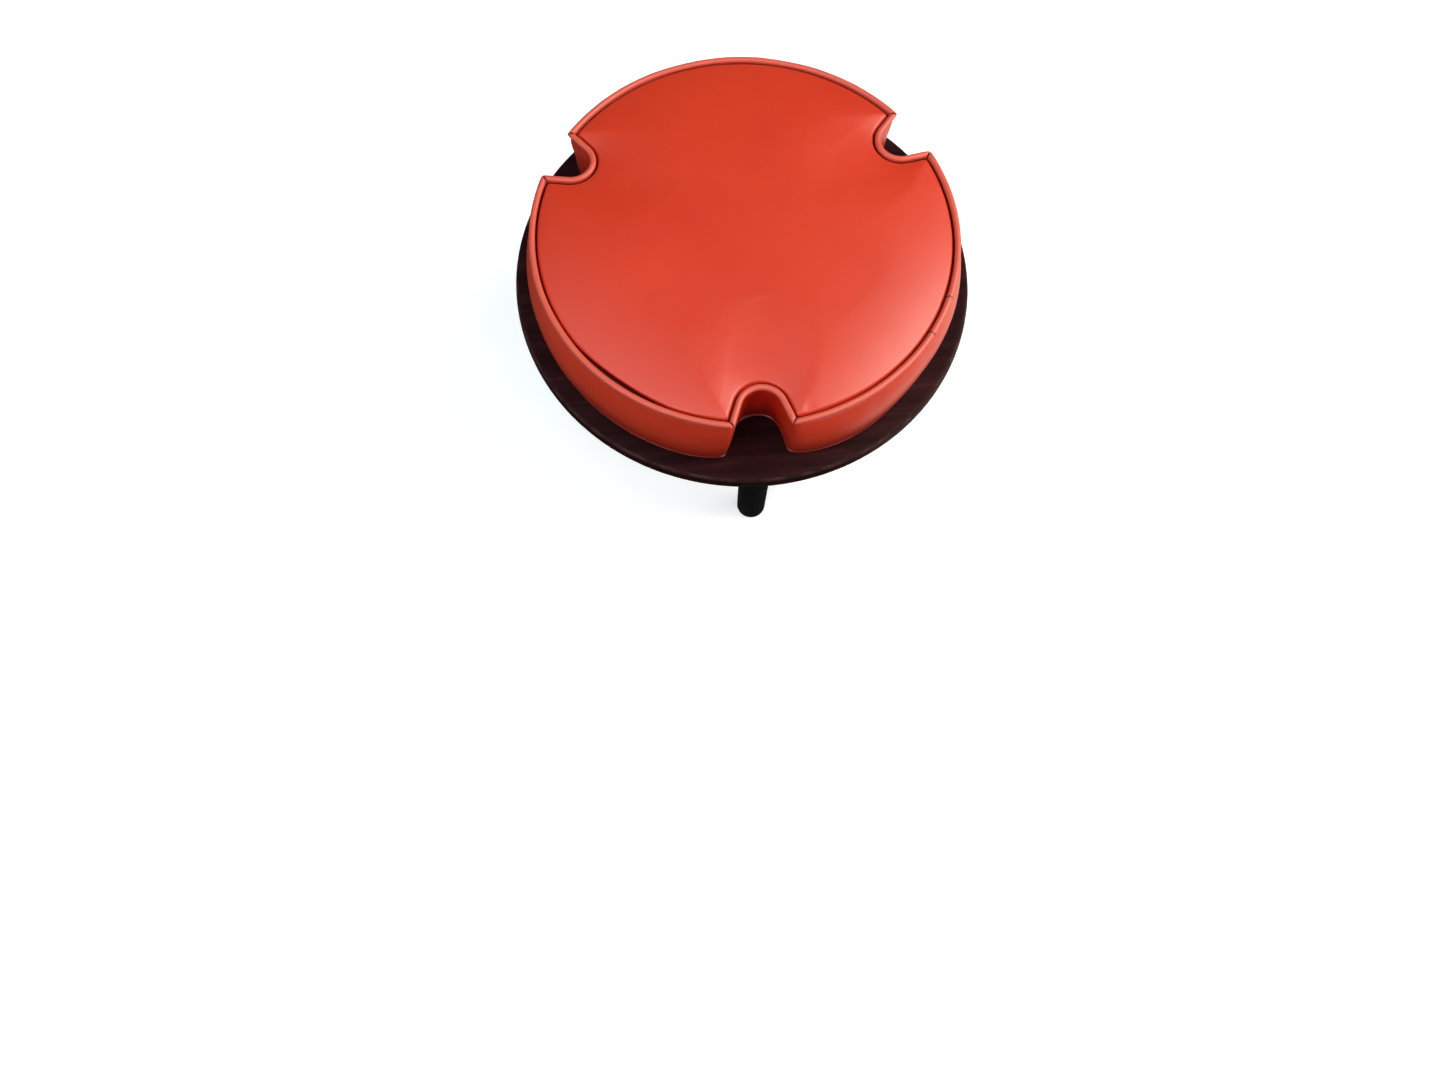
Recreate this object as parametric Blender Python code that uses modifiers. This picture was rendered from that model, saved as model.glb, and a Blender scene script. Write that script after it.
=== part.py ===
"""Low stacking stool: a round board on three turned legs, under a loose box cushion.

The cushion has three notches, one above each leg, so that the legs of a second
stool can stand on this board. Metres, +Z up, origin on the floor under the
middle of the board. The front leg and its notch point along -Y.
"""
import math

import bmesh
import bpy
from mathutils import Matrix, Vector

GAP = 0.0003
WELD = 0.00001
SMOOTH_ANGLE = math.radians(35.0)
CUTTER_REACH = 0.002

# Board
BOARD_TOP_RADIUS = 0.250
BOARD_EDGE_ROUND = 0.004
BOARD_THICKNESS = 0.019
BOARD_UNDERSIDE = 0.203
BOARD_TOP = BOARD_UNDERSIDE + BOARD_THICKNESS
BOARD_STEPS = 72
EDGE_STEPS = 6

# Legs, with the plate, bolt, screws and glide of each
LEG_SIDES = {"front": -90.0, "rear_right": 30.0, "rear_left": 150.0}
LEG_CIRCLE_RADIUS = 0.1985
LEG_TOP_RADIUS = 0.019
LEG_FOOT_RADIUS = 0.01725
LEG_CHAMFER = 0.0015
PLATE_SIDE = 0.0508
PLATE_THICKNESS = 0.0025
PLATE_CORNER = 0.006
PLATE_HOLE_SPACING = 0.0385
BOLT_RADIUS = 0.004
BOLT_IN_LEG = 0.026
BOLT_IN_BOARD = 0.008
BOLT_ROOM = 0.002
BOLT_CHAMFER = 0.001
BOLT_POINT = 0.006
SCREW_HEAD_RADIUS = 0.0037
SCREW_HEAD_HEIGHT = 0.0018
SCREW_SHANK_RADIUS = 0.0019
SCREW_LENGTH = 0.0135
SCREW_POINT = 0.003
SCREW_TIP_RADIUS = 0.0006
SCREW_SLOT = 0.0009
SCREW_TURN = 35.0
GLIDE_RADIUS = 0.011
GLIDE_HEIGHT = 0.004
GLIDE_NAIL_RADIUS = 0.0013
GLIDE_NAIL_LENGTH = 0.013
GLIDE_NAIL_POINT = 0.003
GLIDE_RIM = 0.0022
GLIDE_ROUND = 0.0006

# Cushion. Heights are above the board. The seam line is the groove round the top.
SEAM_RADIUS = 0.2205
SEAM_HEIGHT = 0.075
CROWN_HEIGHT = 0.084
SHOULDER = ((0.0, -0.0005), (0.0030, 0.0024), (0.0090, 0.0040))  # (inset, rise above the seam)
CROWN_SHARES = (0.75, 0.40)
WALL_BASE_RADIUS = 0.2325
WALL_WIDEST_RADIUS = 0.2350
WALL_WIDEST_HEIGHT = 0.024
NOTCH_ARC_RADIUS = 0.0275
NOTCH_ARC_CENTRE = 0.2058
NOTCH_FLARE = math.radians(20.0)
NOTCH_LEAN = 0.0052
VINYL = 0.0012
FOAM_EASE = 0.0010
WELT_RADIUS = 0.0033
WELT_COVER = 0.0009
WELT_OFFSET = WELT_RADIUS + 0.0004
RIM_STEPS = 18
NOTCH_STEPS = 8
WALL_ROWS = 5


def clear_scene():
    for thing in list(bpy.data.objects):
        bpy.data.objects.remove(thing, do_unlink=True)


def collection(name):
    group = bpy.data.collections.new(name)
    bpy.context.scene.collection.children.link(group)
    return group


def material(name, colour, roughness, metallic=0.0):
    result = bpy.data.materials.new(name)
    result.use_nodes = True
    shader = result.node_tree.nodes["Principled BSDF"]
    shader.inputs["Base Color"].default_value = (*colour, 1.0)
    shader.inputs["Roughness"].default_value = roughness
    shader.inputs["Metallic"].default_value = metallic
    return result


def add_mesh(name, mesh, group, look=None, parent=None):
    """Link a mesh as an object, shaded smooth with sharp creases."""
    thing = bpy.data.objects.new(name, mesh)
    group.objects.link(thing)
    if look:
        mesh.materials.append(look)
    mesh.shade_smooth()
    mesh.set_sharp_from_angle(angle=SMOOTH_ANGLE)
    thing.parent = parent
    return thing


def to_mesh(solid, name):
    """Turn a finished bmesh into a mesh."""
    mesh = bpy.data.meshes.new(name)
    solid.to_mesh(mesh)
    solid.free()
    return mesh


def turned(name, profile, steps, group, look=None, place=(0, 0, 0), turn=0.0):
    """Revolve (radius, height) points about Z. The outer side runs top to bottom."""
    mesh = bpy.data.meshes.new(name)
    points = [(radius, 0.0, height) for radius, height in profile]
    edges = [(i, i + 1) for i in range(len(points) - 1)]
    mesh.from_pydata(points, edges, [])
    thing = add_mesh(name, mesh, group, look)
    thing.location = place
    thing.rotation_euler.z = turn
    screw = thing.modifiers.new("Revolve", "SCREW")
    screw.steps = steps
    screw.render_steps = steps
    screw.use_merge_vertices = True
    screw.merge_threshold = WELD
    return thing


def box(name, size, group, look=None, place=(0, 0, 0), turn=0.0):
    solid = bmesh.new()
    bmesh.ops.create_cube(solid, size=1.0, matrix=Matrix.Diagonal((*size, 1.0)))
    thing = add_mesh(name, to_mesh(solid, name), group, look)
    thing.location = place
    thing.rotation_euler.z = turn
    return thing


def cut(thing, cutter):
    boolean = thing.modifiers.new("Cut", "BOOLEAN")
    boolean.operation = "DIFFERENCE"
    boolean.solver = "EXACT"
    boolean.object = cutter
    cutter.hide_render = True
    cutter.display_type = "WIRE"


def polar(radius, angle):
    return Vector((radius * math.cos(angle), radius * math.sin(angle), 0.0))


# ---------------------------------------------------------------- base

def board_edge():
    """Half an ellipse round the rim, from the top face to the underside."""
    middle = BOARD_UNDERSIDE + BOARD_THICKNESS / 2
    points = []
    for i in range(EDGE_STEPS + 1):
        angle = math.pi / 2 - math.pi * i / EDGE_STEPS
        radius = BOARD_TOP_RADIUS + BOARD_EDGE_ROUND * math.cos(angle)
        points.append((radius, middle + BOARD_THICKNESS / 2 * math.sin(angle)))
    return points


def blind_hole(name, radius, depth, steps, group, place):
    """A cutter that reaches up into the board's underside."""
    profile = [(0, depth), (radius, depth), (radius, -CUTTER_REACH), (0, -CUTTER_REACH)]
    return turned(name, profile, steps, group, place=place)


def make_board(group, cutters):
    profile = [(0, BOARD_TOP), *board_edge(), (0, BOARD_UNDERSIDE)]
    look = material("dark_stained_board", (0.030, 0.012, 0.011), 0.38)
    board = turned("seat_board", profile, BOARD_STEPS, group, look)
    for side, degrees in LEG_SIDES.items():
        place = polar(LEG_CIRCLE_RADIUS, math.radians(degrees))
        place.z = BOARD_UNDERSIDE
        cut(board, blind_hole("bolt_hole_" + side, BOLT_RADIUS + BOLT_ROOM,
                              BOLT_IN_BOARD + BOLT_ROOM, 12, cutters, place))
        for number, spot in enumerate(screw_spots(degrees), 1):
            spot.z = BOARD_UNDERSIDE
            cut(board, blind_hole(f"screw_hole_{side}_{number}", SCREW_SHANK_RADIUS + GAP,
                                  SCREW_LENGTH - PLATE_THICKNESS + GAP, 8, cutters, spot))


def screw_spots(degrees):
    """The four screw places of a leg plate, which lies square to the leg's radius."""
    angle = math.radians(degrees)
    centre = polar(LEG_CIRCLE_RADIUS, angle)
    half = PLATE_HOLE_SPACING / 2
    turn = Matrix.Rotation(angle, 3, "Z")
    corners = ((half, half), (-half, half), (-half, -half), (half, -half))
    return [centre + turn @ Vector((x, y, 0.0)) for x, y in corners]


def make_plate(side, degrees, group, cutters):
    angle = math.radians(degrees)
    place = polar(LEG_CIRCLE_RADIUS, angle)
    top = BOARD_UNDERSIDE - GAP
    place.z = top - PLATE_THICKNESS / 2
    look = material("zinc_plate", (0.55, 0.53, 0.48), 0.35, 1.0)
    plate = box("leg_plate_" + side, (PLATE_SIDE, PLATE_SIDE, PLATE_THICKNESS),
                group, look, place, angle)
    corners = plate.modifiers.new("Corners", "BEVEL")
    corners.width = PLATE_CORNER
    corners.segments = 3
    corners.limit_method = "WEIGHT"
    weights = plate.data.attributes.new("bevel_weight_edge", "FLOAT", "EDGE")
    for edge in plate.data.edges:
        ends = [plate.data.vertices[i].co for i in edge.vertices]
        weights.data[edge.index].value = float(abs(ends[0].z - ends[1].z) > PLATE_THICKNESS / 2)
    reach = PLATE_THICKNESS * 2
    holes = [(place.copy(), BOLT_RADIUS + GAP, 12)]
    holes += [(spot, SCREW_SHANK_RADIUS + GAP, 8) for spot in screw_spots(degrees)]
    for number, (spot, radius, steps) in enumerate(holes):
        spot.z = place.z
        profile = [(0, reach), (radius, reach), (radius, -reach), (0, -reach)]
        cut(plate, turned(f"plate_hole_{side}_{number}", profile, steps, cutters, place=spot))


def make_screws(side, degrees, group, cutters):
    """Round-head screws with one straight slot, driven up through the plate."""
    under_plate = BOARD_UNDERSIDE - 2 * GAP - PLATE_THICKNESS
    tip = SCREW_LENGTH
    profile = [(0, tip), (SCREW_TIP_RADIUS, tip), (SCREW_SHANK_RADIUS, tip - SCREW_POINT),
               (SCREW_SHANK_RADIUS, 0),
               (SCREW_HEAD_RADIUS, 0), (SCREW_HEAD_RADIUS * 0.8, -SCREW_HEAD_HEIGHT * 0.75),
               (SCREW_HEAD_RADIUS * 0.35, -SCREW_HEAD_HEIGHT), (0, -SCREW_HEAD_HEIGHT)]
    look = material("zinc_screw", (0.60, 0.58, 0.52), 0.32, 1.0)
    for number, spot in enumerate(screw_spots(degrees), 1):
        spot.z = under_plate
        screw = turned(f"plate_screw_{side}_{number}", profile, 10, group, look, spot)
        low = spot - Vector((0, 0, SCREW_HEAD_HEIGHT))
        slot = (SCREW_HEAD_RADIUS * 3, SCREW_SLOT, SCREW_SLOT * 1.6)
        turn = math.radians(degrees + SCREW_TURN * number)
        cut(screw, box(f"screw_slot_{side}_{number}", slot, cutters, place=low, turn=turn))


def make_leg(side, degrees, group):
    top = BOARD_UNDERSIDE - 2 * GAP - PLATE_THICKNESS
    foot = GLIDE_HEIGHT + GAP
    bolt_hole = BOLT_RADIUS + GAP
    bolt_end = top - BOLT_IN_LEG - GAP
    nail_hole = GLIDE_NAIL_RADIUS + GAP
    nail_end = foot + GLIDE_NAIL_LENGTH
    profile = [(0, bolt_end), (bolt_hole, bolt_end), (bolt_hole, top),
               (LEG_TOP_RADIUS - LEG_CHAMFER, top), (LEG_TOP_RADIUS, top - LEG_CHAMFER),
               (LEG_FOOT_RADIUS, foot + LEG_CHAMFER),
               (LEG_FOOT_RADIUS - LEG_CHAMFER, foot), (nail_hole, foot), (nail_hole, nail_end),
               (0, nail_end)]
    look = material("black_leg", (0.012, 0.010, 0.010), 0.42)
    turned("leg_" + side, profile, 20, group, look, polar(LEG_CIRCLE_RADIUS, math.radians(degrees)))


def make_bolt(side, degrees, group):
    """A headless bolt: machine thread up through the plate, wood thread down the leg."""
    top = BOARD_UNDERSIDE + BOLT_IN_BOARD
    low = BOARD_UNDERSIDE - 2 * GAP - PLATE_THICKNESS - BOLT_IN_LEG
    profile = [(0, top), (BOLT_RADIUS - BOLT_CHAMFER, top), (BOLT_RADIUS, top - BOLT_CHAMFER),
               (BOLT_RADIUS, low + BOLT_POINT), (BOLT_RADIUS / 4, low), (0, low)]
    look = material("zinc_bolt", (0.50, 0.49, 0.46), 0.40, 1.0)
    turned("hanger_bolt_" + side, profile, 12, group, look,
           polar(LEG_CIRCLE_RADIUS, math.radians(degrees)))


def make_glide(side, degrees, group):
    """A nail-on glide with a flat foot."""
    nail = GLIDE_HEIGHT + GLIDE_NAIL_LENGTH - GAP
    profile = [(0, nail), (GLIDE_NAIL_RADIUS, nail - GLIDE_NAIL_POINT),
               (GLIDE_NAIL_RADIUS, GLIDE_HEIGHT), (GLIDE_RADIUS, GLIDE_HEIGHT),
               (GLIDE_RADIUS, GLIDE_RIM), (GLIDE_RADIUS * 0.86, GLIDE_ROUND),
               (GLIDE_RADIUS * 0.68, 0), (0, 0)]
    look = material("nickel_glide", (0.58, 0.57, 0.55), 0.30, 1.0)
    turned("foot_glide_" + side, profile, 16, group, look,
           polar(LEG_CIRCLE_RADIUS, math.radians(degrees)))


# ---------------------------------------------------------------- cushion

def flare_corner(rim, grow):
    """Where a notch's straight side meets the rim circle, in the notch's own axes."""
    arc = NOTCH_ARC_RADIUS - grow
    start = Vector((NOTCH_ARC_CENTRE - arc * math.sin(NOTCH_FLARE), arc * math.cos(NOTCH_FLARE)))
    along = Vector((math.cos(NOTCH_FLARE), math.sin(NOTCH_FLARE)))
    lead = start.dot(along)
    reach = math.sqrt(lead * lead - start.length_squared + rim * rim) - lead
    return start + along * reach


def notch_path(rim, grow, extra=0.0):
    """One notch from its left lip round the end to its right lip, along +X.

    grow is how far the cushion stands into the notch from the seam line.
    extra carries the straight sides on past the lips.
    """
    arc = NOTCH_ARC_RADIUS - grow
    corner = flare_corner(rim, grow)
    along = Vector((math.cos(NOTCH_FLARE), math.sin(NOTCH_FLARE)))
    tip = corner + along * extra
    turn = math.pi - 2 * NOTCH_FLARE
    points = [Vector((tip.x, -tip.y))]
    for i in range(NOTCH_STEPS + 1):
        angle = math.pi + turn * (0.5 - i / NOTCH_STEPS)
        points.append(Vector((NOTCH_ARC_CENTRE + arc * math.cos(angle), arc * math.sin(angle))))
    points.append(tip)
    return points


def spun(points, degrees, height):
    turn = Matrix.Rotation(math.radians(degrees), 3, "Z")
    return [turn @ Vector((p.x, p.y, height)) for p in points]


def rim_path(rim, grow, height, start_degrees, extra=0.0):
    """The rim from one notch's lip to the next one's, 120 degrees on."""
    corner = flare_corner(rim, grow)
    lip = math.atan2(corner.y, corner.x) - extra / rim
    first = math.radians(start_degrees) + lip
    sweep = math.radians(120.0) - 2 * lip
    points = []
    for i in range(RIM_STEPS + 1):
        point = polar(rim, first + sweep * i / RIM_STEPS)
        point.z = height
        points.append(point)
    return points


def outline(rim, grow, height):
    """The whole cushion outline, anticlockwise, with the same points for any offset."""
    points = []
    for degrees in LEG_SIDES.values():
        points += spun(notch_path(rim, grow), degrees, height)
        points += rim_path(rim, grow, height, degrees)[1:-1]
    return points


def skin(rows, middle=None):
    """A surface through closed rows of equal length, run from the low row up.

    With a middle point the last row closes on it as a fan. Returns the bmesh and
    the low row's vertices.
    """
    solid = bmesh.new()
    rings = [[solid.verts.new(point) for point in row] for row in rows]
    count = len(rings[0])
    for low, high in zip(rings, rings[1:]):
        for i in range(count):
            j = (i + 1) % count
            solid.faces.new((low[i], low[j], high[j], high[i]))
    if middle:
        top = solid.verts.new(middle)
        for i in range(count):
            solid.faces.new((rings[-1][i], rings[-1][(i + 1) % count], top))
    return solid, rings[0]


def wall_radius(height):
    """The bulged side: widest low down, drawn in under the welt."""
    if height < WALL_WIDEST_HEIGHT:
        share = 1 - height / WALL_WIDEST_HEIGHT
        return WALL_WIDEST_RADIUS - (WALL_WIDEST_RADIUS - WALL_BASE_RADIUS) * share ** 2
    share = (height - WALL_WIDEST_HEIGHT) / (SEAM_HEIGHT - WALL_WIDEST_HEIGHT)
    return WALL_WIDEST_RADIUS - (WALL_WIDEST_RADIUS - SEAM_RADIUS - WELT_RADIUS) * share ** 2


def wall_grow(height):
    """The notch walls lean: they stand under the welt at the top, and further back below."""
    return NOTCH_LEAN * height / SEAM_HEIGHT


def crown_rows(inset, drop):
    """Rows of the domed top, from the seam line in towards the middle."""
    edge = SEAM_RADIUS - GAP - inset
    base = BOARD_TOP + SEAM_HEIGHT - drop
    rows = [outline(edge - back, -inset - back, base + rise) for back, rise in SHOULDER]
    inner = rows[-1]
    low = SHOULDER[-1][1]
    peak = CROWN_HEIGHT - SEAM_HEIGHT
    for share in CROWN_SHARES:
        height = base + low + (peak - low) * (1 - share ** 2)
        rows.append([Vector((p.x * share, p.y * share, height)) for p in inner])
    return rows, Vector((0, 0, BOARD_TOP + CROWN_HEIGHT - drop))


def shell(name, rows, middle, group, look, parent):
    """An open surface given the vinyl's thickness on its inner side."""
    solid, _ = skin(rows, middle)
    thing = add_mesh(name, to_mesh(solid, name), group, look, parent)
    thick = thing.modifiers.new("Thickness", "SOLIDIFY")
    thick.thickness = VINYL
    thick.offset = -1.0
    thick.use_even_offset = True
    return thing


def make_boxing(group, look, parent):
    low = VINYL + 2 * GAP
    high = SEAM_HEIGHT - WELT_RADIUS - 2 * GAP
    rows = []
    for i in range(WALL_ROWS + 1):
        height = low + (high - low) * i / WALL_ROWS
        rows.append(outline(wall_radius(height), wall_grow(height), BOARD_TOP + height))
    shell("cushion_boxing", rows, None, group, look, parent)


def make_top_panel(group, look, parent):
    rows, middle = crown_rows(0.0, 0.0)
    shell("cushion_top_panel", rows, middle, group, look, parent)


def make_bottom_panel(group, look, parent):
    curve = bpy.data.curves.new("cushion_bottom_panel", "CURVE")
    curve.dimensions = "2D"
    curve.fill_mode = "BOTH"
    curve.extrude = VINYL / 2
    points = outline(WALL_BASE_RADIUS - GAP, 0.0, 0.0)
    spline = curve.splines.new("POLY")
    spline.points.add(len(points) - 1)
    for spot, point in zip(spline.points, points):
        spot.co = (point.x, point.y, 0.0, 1.0)
    spline.use_cyclic_u = True
    thing = mesh_from_curve(curve, group, look)
    thing.parent = parent
    thing.location.z = GAP + VINYL / 2


def make_foam(group, look, parent):
    """The foam block, one clearance inside every vinyl panel."""
    room = VINYL + 2 * GAP
    low = 2 * room
    high = SEAM_HEIGHT - WELT_RADIUS - 3 * GAP
    rows = []
    for i in range(WALL_ROWS + 1):
        height = low + (high - low) * i / WALL_ROWS
        rows.append(outline(wall_radius(height) - room, wall_grow(height) - room, BOARD_TOP + height))
    top, middle = crown_rows(FOAM_EASE, room)
    solid, low_row = skin(rows + top, middle)
    solid.faces.new(list(reversed(low_row)))
    add_mesh("foam_core", to_mesh(solid, "foam_core"), group, look, parent)


def mesh_from_curve(curve, group, look=None):
    """Turn a curve into a mesh object of the same name, with its caps welded."""
    guide = bpy.data.objects.new(curve.name + "_guide", curve)
    group.objects.link(guide)
    evaluated = guide.evaluated_get(bpy.context.evaluated_depsgraph_get())
    solid = bmesh.new()
    solid.from_mesh(bpy.data.meshes.new_from_object(evaluated))
    bmesh.ops.remove_doubles(solid, verts=solid.verts, dist=WELD)
    name = curve.name
    bpy.data.objects.remove(guide, do_unlink=True)
    bpy.data.curves.remove(curve)
    return add_mesh(name, to_mesh(solid, name), group, look)


def tube(name, points, radius, group, look):
    """An open tube along points, without caps."""
    curve = bpy.data.curves.new(name, "CURVE")
    curve.dimensions = "3D"
    curve.bevel_depth = radius
    curve.bevel_resolution = 2
    spline = curve.splines.new("POLY")
    spline.points.add(len(points) - 1)
    for spot, point in zip(spline.points, points):
        spot.co = (*point, 1.0)
    return mesh_from_curve(curve, group, look)


def mitre(thing, corners, keep, capped):
    """Trim a tube at the vertical plane through each welt corner, on keep's side."""
    solid = bmesh.new()
    solid.from_mesh(thing.data)
    for inner, outer in corners:
        normal = (outer - inner).cross(Vector((0, 0, 1))).normalized()
        if (keep - inner).dot(normal) > 0:
            normal.negate()
        geometry = [*solid.verts, *solid.edges, *solid.faces]
        bmesh.ops.bisect_plane(solid, geom=geometry, dist=WELD / 100, plane_co=inner - normal * GAP,
                               plane_no=normal, clear_outer=True)
    if capped:
        bmesh.ops.holes_fill(solid, edges=solid.edges, sides=0)
    solid.to_mesh(thing.data)
    solid.free()


def welt_corner(degrees, side, height):
    """Inner and outer corner points at one lip of a notch; side is -1 or 1."""
    ends = []
    for grow in (0.0, WELT_OFFSET):
        corner = flare_corner(SEAM_RADIUS + grow, grow)
        ends.append(spun([Vector((corner.x, corner.y * side))], degrees, height)[0])
    return ends


def make_welt(name, points, corners, group, cover_look, cord_look, parent):
    """A strip of vinyl folded round a cord: an open-ended tube and the cord in it."""
    middle = points[len(points) // 2]
    cover = tube("welt_cover_" + name, points, WELT_RADIUS, group, cover_look)
    mitre(cover, corners, middle, False)
    thick = cover.modifiers.new("Thickness", "SOLIDIFY")
    thick.thickness = WELT_COVER
    thick.offset = -1.0
    cord = tube("welt_cord_" + name, points, WELT_RADIUS - WELT_COVER - GAP, group, cord_look)
    mitre(cord, corners, middle, True)
    for thing in (cover, cord):
        thing.parent = parent
        thing.matrix_parent_inverse = Matrix.Translation((0, 0, -BOARD_TOP))


def make_welts(group, cover_look, cord_look, parent):
    height = BOARD_TOP + SEAM_HEIGHT
    rim = SEAM_RADIUS + WELT_OFFSET
    beyond = 2 * WELT_RADIUS
    for side, degrees in LEG_SIDES.items():
        points = spun(notch_path(rim, WELT_OFFSET, beyond), degrees, height)
        corners = [welt_corner(degrees, -1, height), welt_corner(degrees, 1, height)]
        make_welt("notch_" + side, points, corners, group, cover_look, cord_look, parent)
    arcs = {"rim_right": -90.0, "rim_rear": 30.0, "rim_left": 150.0}
    for name, degrees in arcs.items():
        points = rim_path(rim, WELT_OFFSET, height, degrees, beyond)
        corners = [welt_corner(degrees, 1, height), welt_corner(degrees + 120.0, -1, height)]
        make_welt(name, points, corners, group, cover_look, cord_look, parent)


def make_cushion(group):
    lift = bpy.data.objects.new("cushion_lift_axis", None)
    lift.location = (0, 0, BOARD_TOP)
    group.objects.link(lift)
    vinyl = (0.640, 0.060, 0.025)
    make_foam(group, material("cream_foam", (0.80, 0.70, 0.48), 0.9), lift)
    make_top_panel(group, material("orange_vinyl_top", vinyl, 0.36), lift)
    make_boxing(group, material("orange_vinyl_side", vinyl, 0.38), lift)
    make_bottom_panel(group, material("orange_vinyl_base", vinyl, 0.40), lift)
    make_welts(group, material("orange_vinyl_welt", vinyl, 0.34),
               material("cotton_cord", (0.75, 0.70, 0.58), 0.9), lift)
    for thing in group.objects:
        if thing.parent is lift and not thing.name.startswith(("welt", "cushion_bottom")):
            thing.matrix_parent_inverse = Matrix.Translation((0, 0, -BOARD_TOP))


def main():
    clear_scene()
    stool = collection("stacking_stool")
    cutters = collection("cutters")
    make_board(stool, cutters)
    for side, degrees in LEG_SIDES.items():
        make_plate(side, degrees, stool, cutters)
        make_screws(side, degrees, stool, cutters)
        make_bolt(side, degrees, stool)
        make_leg(side, degrees, stool)
        make_glide(side, degrees, stool)
    make_cushion(stool)


main()
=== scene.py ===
"""Looks of the low stacking stool: stained board, black legs and a boxed vinyl cushion."""
import math

import bmesh
import bpy
import numpy as np
from mathutils import Matrix, Vector, noise


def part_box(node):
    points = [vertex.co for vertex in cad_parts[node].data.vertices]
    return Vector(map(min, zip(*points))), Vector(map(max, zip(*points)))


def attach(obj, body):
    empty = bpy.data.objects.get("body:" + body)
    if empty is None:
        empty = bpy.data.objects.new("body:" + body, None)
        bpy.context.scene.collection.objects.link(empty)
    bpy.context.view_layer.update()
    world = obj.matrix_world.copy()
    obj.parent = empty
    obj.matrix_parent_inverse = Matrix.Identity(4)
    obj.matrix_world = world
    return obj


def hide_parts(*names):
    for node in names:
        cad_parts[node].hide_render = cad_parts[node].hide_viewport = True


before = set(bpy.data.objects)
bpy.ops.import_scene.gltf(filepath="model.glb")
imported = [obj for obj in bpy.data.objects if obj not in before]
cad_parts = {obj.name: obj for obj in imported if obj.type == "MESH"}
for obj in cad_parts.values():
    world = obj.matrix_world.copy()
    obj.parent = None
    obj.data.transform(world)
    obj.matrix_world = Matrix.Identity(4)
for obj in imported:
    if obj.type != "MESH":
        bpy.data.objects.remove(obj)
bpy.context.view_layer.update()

# Places read from the frame, in metres
BOARD_LOW, BOARD_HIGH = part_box("seat_board")
BOARD_TOP = BOARD_HIGH.z
BOARD_UNDERSIDE = BOARD_LOW.z
BOARD_RADIUS = BOARD_HIGH.x
WELT_LOW, WELT_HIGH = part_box("welt_cover_rim_rear")
WELT_RADIUS = (WELT_HIGH.z - WELT_LOW.z) / 2
WELT_HEIGHT = (WELT_HIGH.z + WELT_LOW.z) / 2
CROWN_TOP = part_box("cushion_top_panel")[1].z
BOARD_EDGE_ROUND = 0.004
LEG_TAPER = 0.908
LEG_EDGE_ROUND = 0.0022
GAP = 0.0003

# The notched outline, as in the CAD. The hand-cut front and rear left notches stand a little off
# their legs, as degrees round from +X.
NOTCHES = {"front": -90.7, "rear_right": 30.0, "rear_left": 150.7}
RIMS = {"rim_right": "front", "rim_rear": "rear_right", "rim_left": "rear_left"}
SEAM_RADIUS = 0.2205
NOTCH_ARC_RADIUS = 0.0275
NOTCH_ARC_CENTRE = 0.2058
NOTCH_FLARE = math.radians(20.0)
WALL_BASE_RADIUS = 0.2325
WALL_WIDEST_RADIUS = 0.2350
WALL_WIDEST_HEIGHT = 0.024
WALL_LEAN = 0.0052
LIP_PULL = 0.0065
VINYL = 0.0010

# The welts: how far their middles stand out of the seam, their vinyl and cord, the V-shaped joints at
# the lips, and the two splices as degrees round
WELT_OFFSET = 0.0037
WELT_COVER = 0.0009
CORD_RADIUS = WELT_RADIUS - WELT_COVER - 0.0007
CORD_TRIM = 3
CORD_TWIST = 520.0
STRAND_DEPTH = 0.13
BUTT_GAP = 0.0010
BUTT_REACH = 0.007
SPLICES = (-25.0, -37.0)
WANDER = 0.0003

# The top panel's section: it drops into the seam, rolls out of it over a short reach, then rises over a
# shoulder to its crown
EDGE_DROP = 0.0050
EDGE_ROLL = 0.0056
EDGE_FLOOR = 0.0010
EDGE_ROLL_REACH = 0.0030
SHOULDER = 0.0098
SHOULDER_REACH = 0.034
CROWN_SWELL = 0.0012
EDGE_ROWS = (-0.0009, -0.0002, 0.0004, 0.0008, 0.0010, 0.0016, 0.0026, 0.0038, 0.0054, 0.0076, 0.0104,
             0.0137)

# Stitches, with their points as (step back from the seam, height over the welt's middle)
STITCH_PITCH = 0.0021
STITCH_LENGTH = 0.0006
THREAD_RADIUS = 0.00028
STITCH_HIDDEN = ((0.0008, -0.0046), (0.0003, -0.0044), (-0.0002, -0.0044), (-0.0006, -0.0046))
STITCH_OPEN = ((0.0030, 0.0018), (0.0020, 0.0006), (0.0013, -0.0012), (0.0012, -0.0032))
OPEN_FROM = 0.15

# The stretch of the front left rim where the seam gapes, as degrees round the middle
GAPE_MIDDLE = -131.0
GAPE_REACH = 17.0
GAPE_WIDTH = 0.0026
GAPE_FADE = 0.012
GAPE_DEPTH = 0.0042
GAPE_UNDERCUT = 0.0022

# Hand-made differences of the boxing at each lip, as (notch, side, push, crispness, tuck). The push
# leans the foot of the wall into the notch, a crisp lip keeps its fold down to the board, and the tuck
# draws the wall in under the overhanging welt.
LIPS = (("front", 1.0, 0.0070, 0.3, 0.0), ("front", -1.0, 0.0, 0.9, 0.0010),
        ("rear_right", 1.0, 0.0015, 0.5, 0.0050), ("rear_right", -1.0, 0.0025, 0.6, 0.0030),
        ("rear_left", 1.0, 0.0030, 0.4, 0.0030), ("rear_left", -1.0, 0.0, 0.7, 0.0055))
PUSH_HEIGHT = 0.055
PUSH_REACH = 0.018
CRISP_REACH = 0.010
TUCK_HEIGHT = 0.036
TUCK_REACH = 0.022
TUCK_SIDE_REACH = 0.012
FOLD_DEPTH = 0.0013
FOLD_SCALE = 62.0
NOTCH_FADE = 0.012

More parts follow.
